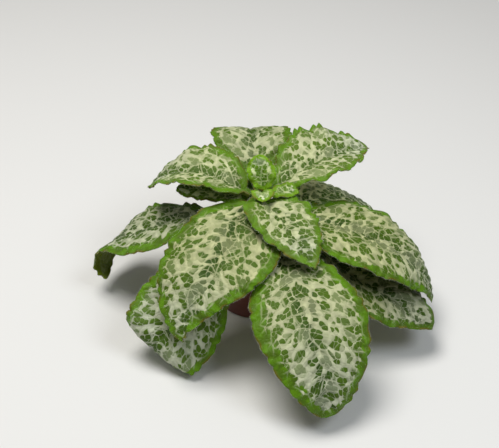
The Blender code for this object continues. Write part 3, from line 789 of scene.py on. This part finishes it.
def leaf_look(leaf, seed):
    """The material of one leaf."""
    # Painted light and shade: each leaf's brightness factor lightens or darkens all its colours.
    deep, bright, cream, border, under = (shaded(c, leaf.light) for c in PALETTES[leaf.age])
    # Part of this silver is painted glare.
    cream = tuple(c + (s - c) * leaf.silver_and_painted_glare for c, s in zip(cream, (*SILVER, 1.0)))
    size = leaf_scale(leaf)
    made, tree, shader = new_look(f"{leaf.name}_blade")
    place = measure(tree, "net_place", "Vector")
    midrib = measure(tree, "to_midrib")
    margin = measure(tree, "to_margin")
    net = placed(tree, net_group, {
        "Place": place, "To Midrib": midrib, "To Margin": margin,
        "From Vein": measure(tree, "from_vein"), "In Border": measure(tree, "in_border"),
        "Cell": CLUSTER_SIZE * size, "Seed": float(seed)})
    near_rib = soft(tree, midrib, 2.0, 14.0 * size, 0.9, 0.1)
    deepness = reckon(tree, "MULTIPLY", near_rib, soft(tree, net["Tone"], 0.1, 0.9, 0.55, 1.2))
    mottle = flat_noise(tree, place, 0.12, 3.0)
    rim = blended(tree, soft(tree, mottle, 0.3, 0.7), border, bright)
    worn = reckon(tree, "MULTIPLY", soft(tree, margin, 0.2, 1.8, 0.8, 0.0),
                  soft(tree, mottle, 0.48, 0.60))
    rim = blended(tree, worn, rim, OLIVE)
    green = blended(tree, net["Border"], blended(tree, deepness, bright, deep), rim)
    pale = blended(tree, soft(tree, mottle, 0.35, 0.7), cream, shaded(cream[:3], CREAM_SHADE))
    to_tip = soft(tree, step(tree, "SeparateXYZ", {0: place}), 0.4 * leaf.blade, leaf.blade,
                  0.0, 0.6)
    pale = blended(tree, to_tip, pale, shaded(SILVER, leaf.light))
    upper = blended(tree, reckon(tree, "MULTIPLY", net["Net"], measure(tree, "on_blade")), green,
                    pale)
    lower = blended(tree, reckon(tree, "MULTIPLY", net["Net"], UNDER_NET), under, pale)
    grain = flat_noise(tree, place, 2.2, 2.0)
    height = reckon(tree, "ADD", soft(tree, net["Cells"], 0.0, 0.28),
                    reckon(tree, "MULTIPLY", grain, 0.35))
    fill(tree, shader, {
        "Base Color": blended(tree, soft(tree, measure(tree, "below"), 0.45, 0.55), upper, lower),
        "Roughness": soft(tree, grain, 0.3, 0.7, 0.45, 0.65),
        "Normal": bumped(tree, 0.55, 0.0003, height),
        "Specular IOR Level": 0.20, "Sheen Weight": 0.02, "Sheen Roughness": 0.4,
        "Sheen Tint": (0.90, 1.0, 0.75, 1.0)})
    return made


# %% [markdown]
# ## Hairs
# Fine white hairs stand all over a primulina, and at the margins they draw a pale line against
# whatever is behind. Each is a needle with three sides, made as mesh. A particle system would be
# quicker to set up, but its hairs aren't part of the mesh and are lost when the model leaves
# Blender.

# %% Grow needles from points and directions
HAIR_RADIUS = 0.055
hair_look, tree, shader = new_look("pale_hair")
to_tip = measure(tree, "to_tip")
fill(tree, shader, {
    "Base Color": blended(tree, soft(tree, to_tip, 0.0, 0.6), (0.30, 0.40, 0.12, 1.0),
                          (0.76, 0.80, 0.66, 1.0)),
    "Roughness": soft(tree, to_tip, 0.0, 1.0, 0.6, 0.4)})


def needles(name, roots, directions, lengths):
    """One mesh with a three-sided needle at each root."""
    directions = directions / np.linalg.norm(directions, axis=1, keepdims=True)
    helper = np.where(np.abs(directions[:, 2:]) < 0.8, [[0.0, 0.0, 1.0]], [[1.0, 0.0, 0.0]])
    first = np.cross(directions, helper)
    first /= np.linalg.norm(first, axis=1, keepdims=True)
    second = np.cross(directions, first)
    points = []
    for corner in range(3):
        turn = 2 * math.pi * corner / 3
        points.append(roots + HAIR_RADIUS * (math.cos(turn) * first + math.sin(turn) * second))
    points.append(roots + directions * lengths[:, None])
    points = np.stack(points, axis=1)
    start = 4 * np.arange(len(roots))[:, None]
    sides = ((0, 1, 3), (1, 2, 3), (2, 0, 3), (2, 1, 0))
    faces = [start + np.array([corners]) for corners in sides]
    to_tip = np.tile([0.0, 0.0, 0.0, 1.0], len(roots))[:, None]
    return add_mesh(name, points, faces, hair_look, {"to_tip": to_tip})


# %% Scatter hairs over a leaf
MARGIN_SPACING = 0.42      # mm between hairs along a margin
MARGIN_LENGTHS = (0.7, 1.5)
BLADE_AREA = 8             # mm2 for each hair on the blade
BLADE_LENGTHS = (0.6, 1.2)
BLADE_FILL = 0.7           # the share of length times width that a blade covers


def leaf_hairs(leaf, upper, normal, rng):
    """Hairs along the margins and over the blade."""
    size = leaf_scale(leaf)
    rows, columns = upper.shape[:2]
    ahead = np.gradient(upper, axis=0)
    ahead /= np.maximum(np.linalg.norm(ahead, axis=2, keepdims=True), 1e-9)
    roots, directions, lengths = [], [], []
    margin_count = int(2 * (leaf.blade + leaf.petiole) / MARGIN_SPACING)
    spots = rng.uniform(0, rows - 1.001, margin_count)
    for column, inner in ((0, 1), (columns - 1, columns - 2)):
        low = spots.astype(int)
        part = (spots - low)[:, None]
        root = upper[low, column] * (1 - part) + upper[low + 1, column] * part
        outer = upper[low, column] - upper[low, inner]
        outer /= np.maximum(np.linalg.norm(outer, axis=1, keepdims=True), 1e-9)
        sway = rng.normal(0, 0.3, (margin_count, 3))
        roots.append(root - normal[low, column] * 0.3)
        directions.append(outer + 0.25 * ahead[low, column] + 0.15 * normal[low, column] + sway)
        lengths.append(rng.uniform(*MARGIN_LENGTHS, margin_count) * size)
    blade_count = int(leaf.blade * sum(leaf.half) * BLADE_FILL / BLADE_AREA)
    row = rng.uniform(0, rows - 1.001, blade_count).astype(int)
    column = rng.uniform(1, columns - 1.001, blade_count).astype(int)
    roots.append(upper[row, column] - normal[row, column] * 0.1)
    directions.append(normal[row, column] + 0.5 * ahead[row, column]
                      + rng.normal(0, 0.25, (blade_count, 3)))
    lengths.append(rng.uniform(*BLADE_LENGTHS, blade_count) * size)
    return needles(f"{leaf.name}_hairs", np.concatenate(roots), np.concatenate(directions),
                   np.concatenate(lengths))


# %% [markdown]
# ## All the leaves
# Now the table becomes a plant. Each leaf stands for the CAD node of its own name, and its hairs
# are a piece of their own on the same body.

# %% Build the leaves and their hairs
SEED_STEP = 23             # shifts the net from leaf to leaf
rng = np.random.default_rng(11)
hair_triangles = 0
for seed, leaf in enumerate(LEAVES, 1):
    rings, faces, measures, surface = leaf_body(leaf)
    blade = add_mesh(f"{leaf.name}_fine", rings, faces, leaf_look(leaf, SEED_STEP * seed),
                     measures)
    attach(blade, "root")
    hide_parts(leaf.name)
    hairs = leaf_hairs(leaf, *surface, rng)
    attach(hairs, "root")
    hair_triangles += len(hairs.data.polygons)
    print(leaf.name, "faces:", len(blade.data.polygons), "hairs:", len(hairs.data.polygons) // 4)
print("triangles in hairs:", hair_triangles)

# %% [markdown]
# ## The pot
# A nursery pot is moulded from thin plastic: a tapered wall, a rim band that lets pots stack
# without sticking, a foot ring and drain holes. It is turned from its profile with Screw, the
# holes are cut, and a small bevel rounds the edges as a mould does.

# %% The pot's profile
POT = {"height": 60.0, "base": 26.5, "rim": 35.0, "wall": 1.4, "band": 6.0, "step": 1.2,
       "floor": 2.0, "lift": 1.5, "foot": 3.0, "pad": 8.0, "lip": 0.6}
DRAINS = {"count": 6, "radius": 3.0, "ring": 17.0}
POT_STEPS = 144            # faces round the pot
EDGE_BEVEL = 0.25
MERGE = 0.00001            # metres; points on the axis closer than this become one


def wall_radius(height):
    """Outer radius of the pot's plain wall at a height."""
    top = POT["rim"] - POT["step"]
    return POT["base"] + (top - POT["base"]) * height / POT["height"]


def turned(name, profile, steps, look):
    """A turned solid from (radius, height) points that run down its outer side."""
    mesh = bpy.data.meshes.new(name)
    points = [(radius * MM, 0.0, height * MM) for radius, height in profile]
    mesh.from_pydata(points, [(i, i + 1) for i in range(len(points) - 1)], [])
    mesh.materials.append(look)
    made = in_scene(name, mesh)
    spin = made.modifiers.new("turn", "SCREW")
    spin.steps = steps
    spin.render_steps = steps
    spin.use_merge_vertices = True
    spin.merge_threshold = MERGE
    spin.use_smooth_shade = True
    return made


def applied(made):
    """Replaces an object's mesh by what its modifiers make of it."""
    bpy.context.view_layer.update()
    seen = made.evaluated_get(bpy.context.evaluated_depsgraph_get())
    mesh = bpy.data.meshes.new_from_object(seen)
    made.modifiers.clear()
    made.data = mesh
    return made


def pot_profile():
    """The pot's section, from the middle of its floor over the rim to the middle below."""
    rim_foot = POT["height"] - POT["band"]
    floor_top = POT["lift"] + POT["floor"]
    mouth = wall_radius(POT["height"]) - POT["wall"]
    lip = POT["lip"]
    inside = POT["base"] - POT["foot"]
    return [(0, floor_top), (wall_radius(floor_top) - POT["wall"], floor_top),
            (mouth, POT["height"] - lip), (mouth + lip, POT["height"]),
            (POT["rim"] - lip, POT["height"]), (POT["rim"], POT["height"] - lip),
            (POT["rim"] - lip / 2, rim_foot + lip), (POT["rim"] - lip, rim_foot),
            (wall_radius(rim_foot), rim_foot), (wall_radius(lip), lip),
            (POT["base"] - lip, 0), (inside, 0), (inside - lip, POT["lift"]),
            (POT["pad"] + lip, POT["lift"]), (POT["pad"], 0), (0, 0)]


# %% The pot's matte plastic
def fine_noise(tree, scale, detail=3.0):
    """Noise in the object's own space; the scale is per metre."""
    return step(tree, "TexNoise", {"Vector": step(tree, "TexCoord", out="Object"), "Scale": scale,
                                   "Detail": detail})


dust_group, given, result = new_group("dust", {"Amount": 0.5}, ("Dust",))
tree = dust_group
speckle = fine_noise(tree, 900.0, 4.0)
patches = fine_noise(tree, 60.0, 2.0)
dust = reckon(tree, "MULTIPLY", soft(tree, speckle, 0.42, 0.62), soft(tree, patches, 0.35, 0.7))
tree.links.new(reckon(tree, "MULTIPLY", dust, given["Amount"], clamp=True), result["Dust"])

plastic, tree, shader = new_look("pot_matte_plastic")
dust = placed(tree, dust_group, {"Amount": 0.45})["Dust"]
# The plastic's two browns are darker than terracotta: painted shade, as of a pot in the plant's
# shadow.
tone = blended(tree, soft(tree, fine_noise(tree, 35.0), 0.3, 0.7), (0.17, 0.040, 0.026, 1.0),
               (0.13, 0.030, 0.019, 1.0))
fill(tree, shader, {"Base Color": blended(tree, dust, tone, (0.22, 0.13, 0.09, 1.0)),
                    "Roughness": soft(tree, dust, 0.0, 0.5, 0.42, 0.75),
                    "Normal": bumped(tree, 0.25, 0.0001, fine_noise(tree, 2600.0, 2.0))})

# %% Turn the pot, cut its drains and round its edges
pot = turned("pot_fine", pot_profile(), POT_STEPS, plastic)
drill_mesh = bpy.data.meshes.new("drill")
bm = bmesh.new()
for number in range(DRAINS["count"]):
    turn = 2 * math.pi * number / DRAINS["count"]
    spot = Matrix.Translation((DRAINS["ring"] * math.cos(turn) * MM,
                               DRAINS["ring"] * math.sin(turn) * MM,
                               (POT["lift"] + POT["floor"] / 2) * MM))
    bmesh.ops.create_cone(bm, cap_ends=True, segments=32, radius1=DRAINS["radius"] * MM,
                          radius2=DRAINS["radius"] * MM, depth=3 * POT["floor"] * MM, matrix=spot)
bm.to_mesh(drill_mesh)
bm.free()
drill = in_scene("drill", drill_mesh)
cut = pot.modifiers.new("drains", "BOOLEAN")
cut.operation = "DIFFERENCE"
cut.object = drill
edge = pot.modifiers.new("moulded edges", "BEVEL")
edge.width = EDGE_BEVEL * MM
edge.segments = 2
edge.limit_method = "ANGLE"
edge.angle_limit = math.radians(35)
applied(pot)
bpy.data.objects.remove(drill)
pot.data.shade_smooth()
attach(pot, "root")
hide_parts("pot")
print("pot faces:", len(pot.data.polygons))

# %% [markdown]
# ## The potting soil
# Peat is a heap of crumbs. The body is turned and its top is roughened with small waves, and
# over a thousand small crumbs lie on it, some of them pale grains of perlite.

# %% Make the soil
SOIL_LEVEL = 54.0          # at the pot's wall
SOIL_CROWN = 1.5           # how much higher it is at the stem
SOIL_WAVES = 24
SOIL_WAVE = 0.11           # the height of each
WAVE_TURN = 0.9            # how close the waves are, in radians per mm
SOIL_ROWS = 40
SOIL_STEPS = 160
STEM_RADIUS = 5.4
STEM_FOOT = 47.0
GAP = 0.3                  # between the soil and what it touches

peat, tree, shader = new_look("peat")
crumble = fine_noise(tree, 700.0, 5.0)
fill(tree, shader, {
    "Base Color": blended(tree, soft(tree, crumble, 0.35, 0.65), (0.012, 0.008, 0.005, 1.0),
                          (0.055, 0.034, 0.020, 1.0)),
    "Roughness": soft(tree, crumble, 0.3, 0.7, 0.98, 0.85),
    "Normal": bumped(tree, 0.8, 0.0005, crumble)})

floor_level = POT["lift"] + POT["floor"] + GAP
clear = POT["wall"] + 1.4 * GAP                 # more than GAP, because the wall leans
hole = STEM_RADIUS + GAP
edge_radius = wall_radius(SOIL_LEVEL) - clear
top = [(hole + (edge_radius - hole) * spot, SOIL_LEVEL + SOIL_CROWN * (1 - spot))
       for spot in np.linspace(0, 1, SOIL_ROWS + 1)]
soil = turned("soil_fine", [(0, STEM_FOOT - GAP), (hole, STEM_FOOT - GAP), *top,
                            (wall_radius(floor_level) - clear, floor_level), (0, floor_level)],
              SOIL_STEPS, peat)
applied(soil)
rng = np.random.default_rng(7)
waves = rng.normal(0, 1, (SOIL_WAVES, 2)) * WAVE_TURN
phases = rng.uniform(0, 2 * math.pi, SOIL_WAVES)
for vert in soil.data.vertices:
    radius = math.hypot(vert.co.x, vert.co.y) / MM
    if vert.co.z > (SOIL_LEVEL - 0.2) * MM and hole + GAP < radius < edge_radius - GAP:
        spot = np.array([vert.co.x, vert.co.y]) / MM
        vert.co.z += SOIL_WAVE * float(np.sin(waves @ spot + phases).sum()) * MM
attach(soil, "root")
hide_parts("soil")
print("soil faces:", len(soil.data.polygons))

# %% Scatter crumbs
def crumbs(name, count, low, high, look, rng):
    """Small irregular lumps that lie on the soil."""
    bm = bmesh.new()
    for _ in range(count):
        size = rng.uniform(low, high)
        radius = math.sqrt(rng.uniform((hole + 1) ** 2, (edge_radius - 1) ** 2))
        turn = rng.uniform(0, 2 * math.pi)
        level = SOIL_LEVEL + SOIL_CROWN * (edge_radius - radius) / (edge_radius - hole)
        made = bmesh.ops.create_icosphere(bm, subdivisions=1, radius=size * MM)
        stretch = rng.uniform(0.6, 1.1, 3)
        for vert in made["verts"]:
            lump = rng.uniform(0.8, 1.15)
            vert.co.x = vert.co.x * stretch[0] * lump + radius * math.cos(turn) * MM
            vert.co.y = vert.co.y * stretch[1] * lump + radius * math.sin(turn) * MM
            vert.co.z = vert.co.z * stretch[2] * lump + (level + 0.3 * size) * MM
    mesh = bpy.data.meshes.new(name)
    bm.to_mesh(mesh)
    bm.free()
    mesh.shade_smooth()
    mesh.materials.append(look)
    made = in_scene(name, mesh)
    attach(made, "root")
    print(name, "faces:", len(mesh.polygons))


perlite, tree, shader = new_look("perlite")
fill(tree, shader, {
    "Base Color": blended(tree, soft(tree, fine_noise(tree, 1500.0), 0.35, 0.65),
                          (0.55, 0.53, 0.48, 1.0), (0.72, 0.71, 0.67, 1.0)),
    "Roughness": 0.9})
crumbs("peat_crumbs", 1500, 0.35, 1.0, peat, rng)
crumbs("perlite_grains", 60, 0.5, 1.2, perlite, rng)

# %% [markdown]
# ## The stem
# The short stem is ringed by the scars of leaves that it has shed and is hairy like the leaves.
# It is turned like the pot, and then each ring is pushed in and out a little, so that it looks
# grown rather than turned.

# %% Turn the stem
STEM_TOP = 90.5
STEM_BRIM = 2.0
STEM_RINGS = 6
RING_DEPTH = 0.35
STEM_STEPS = 64
LUMPS = 0.02               # how uneven the stem is, as a share of its radius
OLD_SKIN = (0.058, 0.084)  # metres above the floor between which brown skin turns green

bark, tree, shader = new_look("stem_skin")
height = step(tree, "SeparateXYZ", {0: step(tree, "TexCoord", out="Object")}, out="Z")
age = soft(tree, height, *OLD_SKIN, 1.0, 0.0)
streak = fine_noise(tree, 450.0, 4.0)
fresh = blended(tree, soft(tree, streak, 0.35, 0.65), (0.15, 0.24, 0.04, 1.0),
                (0.25, 0.33, 0.08, 1.0))
old = blended(tree, soft(tree, streak, 0.4, 0.6), (0.10, 0.075, 0.035, 1.0),
              (0.20, 0.15, 0.08, 1.0))
fill(tree, shader, {"Base Color": blended(tree, age, fresh, old),
                    "Roughness": soft(tree, streak, 0.3, 0.7, 0.6, 0.85),
                    "Normal": bumped(tree, 0.5, 0.0003, streak)})

brim = STEM_TOP - STEM_BRIM
low = SOIL_LEVEL + SOIL_CROWN + 1
side = []
for spot in np.linspace(0, 1, 12 * STEM_RINGS + 1):
    ring = (0.5 - 0.5 * math.cos(2 * math.pi * STEM_RINGS * spot)) ** 0.6
    side.append((STEM_RADIUS - RING_DEPTH * ring, brim + (low - brim) * spot))
stem = turned("stem_fine", [(0, STEM_TOP), (0.7 * STEM_RADIUS, STEM_TOP),
                            (0.9 * STEM_RADIUS, STEM_TOP - 0.4 * STEM_BRIM), *side,
                            (STEM_RADIUS, STEM_FOOT), (0, STEM_FOOT)], STEM_STEPS,
              bark)
applied(stem)
for vert in stem.data.vertices:
    turn = math.atan2(vert.co.y, vert.co.x)
    height = vert.co.z / MM
    if height > low:
        lumps = math.sin(3 * turn + 0.35 * height) * math.sin(5 * turn - 0.2 * height)
        swell = 1 - LUMPS * (1 + lumps)
        vert.co.x *= swell
        vert.co.y *= swell
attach(stem, "root")
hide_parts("stem")
print("stem faces:", len(stem.data.polygons))

# %% Hairs on the stem
STEM_HAIRS = 900
STEM_HAIR_LENGTHS = (0.8, 1.6)
BARE_FOOT = 6              # mm above the soil without hairs

turns = rng.uniform(0, 2 * math.pi, STEM_HAIRS)
heights = rng.uniform(low + BARE_FOOT, brim, STEM_HAIRS)
around = np.stack([np.cos(turns), np.sin(turns), 0 * turns], axis=1)
roots = around * (STEM_RADIUS - 0.45) + np.stack([0 * turns, 0 * turns, heights], axis=1)
stem_hairs = needles("stem_hairs", roots, around + rng.normal(0, 0.3, (STEM_HAIRS, 3)),
                     rng.uniform(*STEM_HAIR_LENGTHS, STEM_HAIRS))
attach(stem_hairs, "root")
print("stem hairs:", STEM_HAIRS)

# %% [markdown]
# ## Finish
# The scene is brought up to date.

# %% Bring the scene up to date
bpy.context.view_layer.update()
